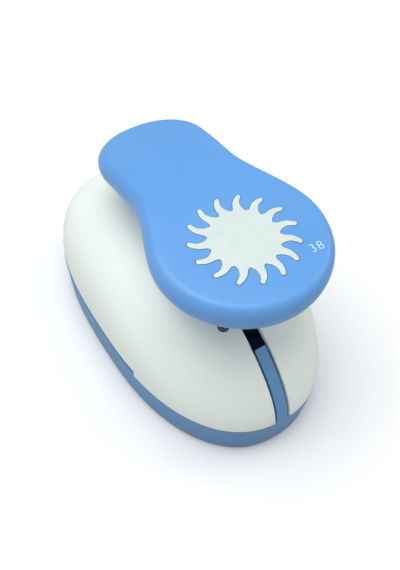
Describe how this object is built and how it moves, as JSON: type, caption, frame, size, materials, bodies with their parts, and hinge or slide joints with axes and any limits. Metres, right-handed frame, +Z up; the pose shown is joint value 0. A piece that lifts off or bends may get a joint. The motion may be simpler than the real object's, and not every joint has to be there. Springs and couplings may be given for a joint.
{
  "type": "craft punch",
  "caption": "Lever-operated paper craft punch: oval base and domed housing, broad rocking lever, spring-returned sun-shaped punch and die with a rear and side paper throat.",
  "frame": {"origin": "middle of the box the punch stands in, on the face its feet stand on", "axes": "+Z up, -Y towards the front, where the lever is pressed; +X to the right of a user at the front facing +Y"},
  "size_m": [0.069, 0.1172, 0.0749],
  "materials": {
    "lever_plastic": "satin moulded ABS, sky blue",
    "base_plastic": "moulded ABS, greyed blue",
    "housing_plastic": "satin moulded ABS, white with a faint green-grey cast",
    "grey_plastic": "moulded nylon, dark grey",
    "plate_steel": "ground tool steel",
    "zinc_steel": "zinc-plated steel",
    "spring_steel": "drawn spring wire and strip",
    "silver_foil": "satin silver",
    "black_rubber": "matt moulded rubber"
  },
  "bodies": {
    "body": {"base": "base_plastic", "rubber_feet": "black_rubber", "base_screws": "zinc_steel", "die_plate": "plate_steel", "die_screws": "zinc_steel", "throat_spacer": "plate_steel", "guide_plate": "plate_steel", "frame_rivets": "zinc_steel", "pivot_bracket": "plate_steel", "bracket_rivets": "zinc_steel", "pivot_pin": "zinc_steel", "pin_clips": "spring_steel", "guide_posts": "zinc_steel", "post_clips": "spring_steel", "spring_left": "spring_steel", "spring_right": "spring_steel", "housing_screws": "zinc_steel", "housing": "housing_plastic"},
    "lever": {"lever_arm": "base_plastic", "press_pin": "zinc_steel", "lever_cap": "lever_plastic", "lever_screws": "zinc_steel", "sun_emblem": "silver_foil", "stop_bumpers": "black_rubber"},
    "plunger": {"punch": "plate_steel", "punch_head": "grey_plastic", "punch_screws": "zinc_steel"}
  },
  "joints": [
    {"name": "lever_hinge", "type": "hinge", "parent": "body", "child": "lever", "pos_m": [0, 0.044, 0.031], "axis": [1, 0, 0], "range_deg": [0, 12], "stiffness_Nm_per_rad": 1.5, "springref_deg": -20.05},
    {"name": "punch_slide", "type": "slide", "parent": "body", "child": "plunger", "axis": [0, 0, -1], "range_m": [0, 0.006], "deforming": ["spring_left", "spring_right"]}
  ],
  "couplings": [
    {"joint": "punch_slide", "follows": "lever_hinge", "m_per_rad": 0.0286}
  ]
}
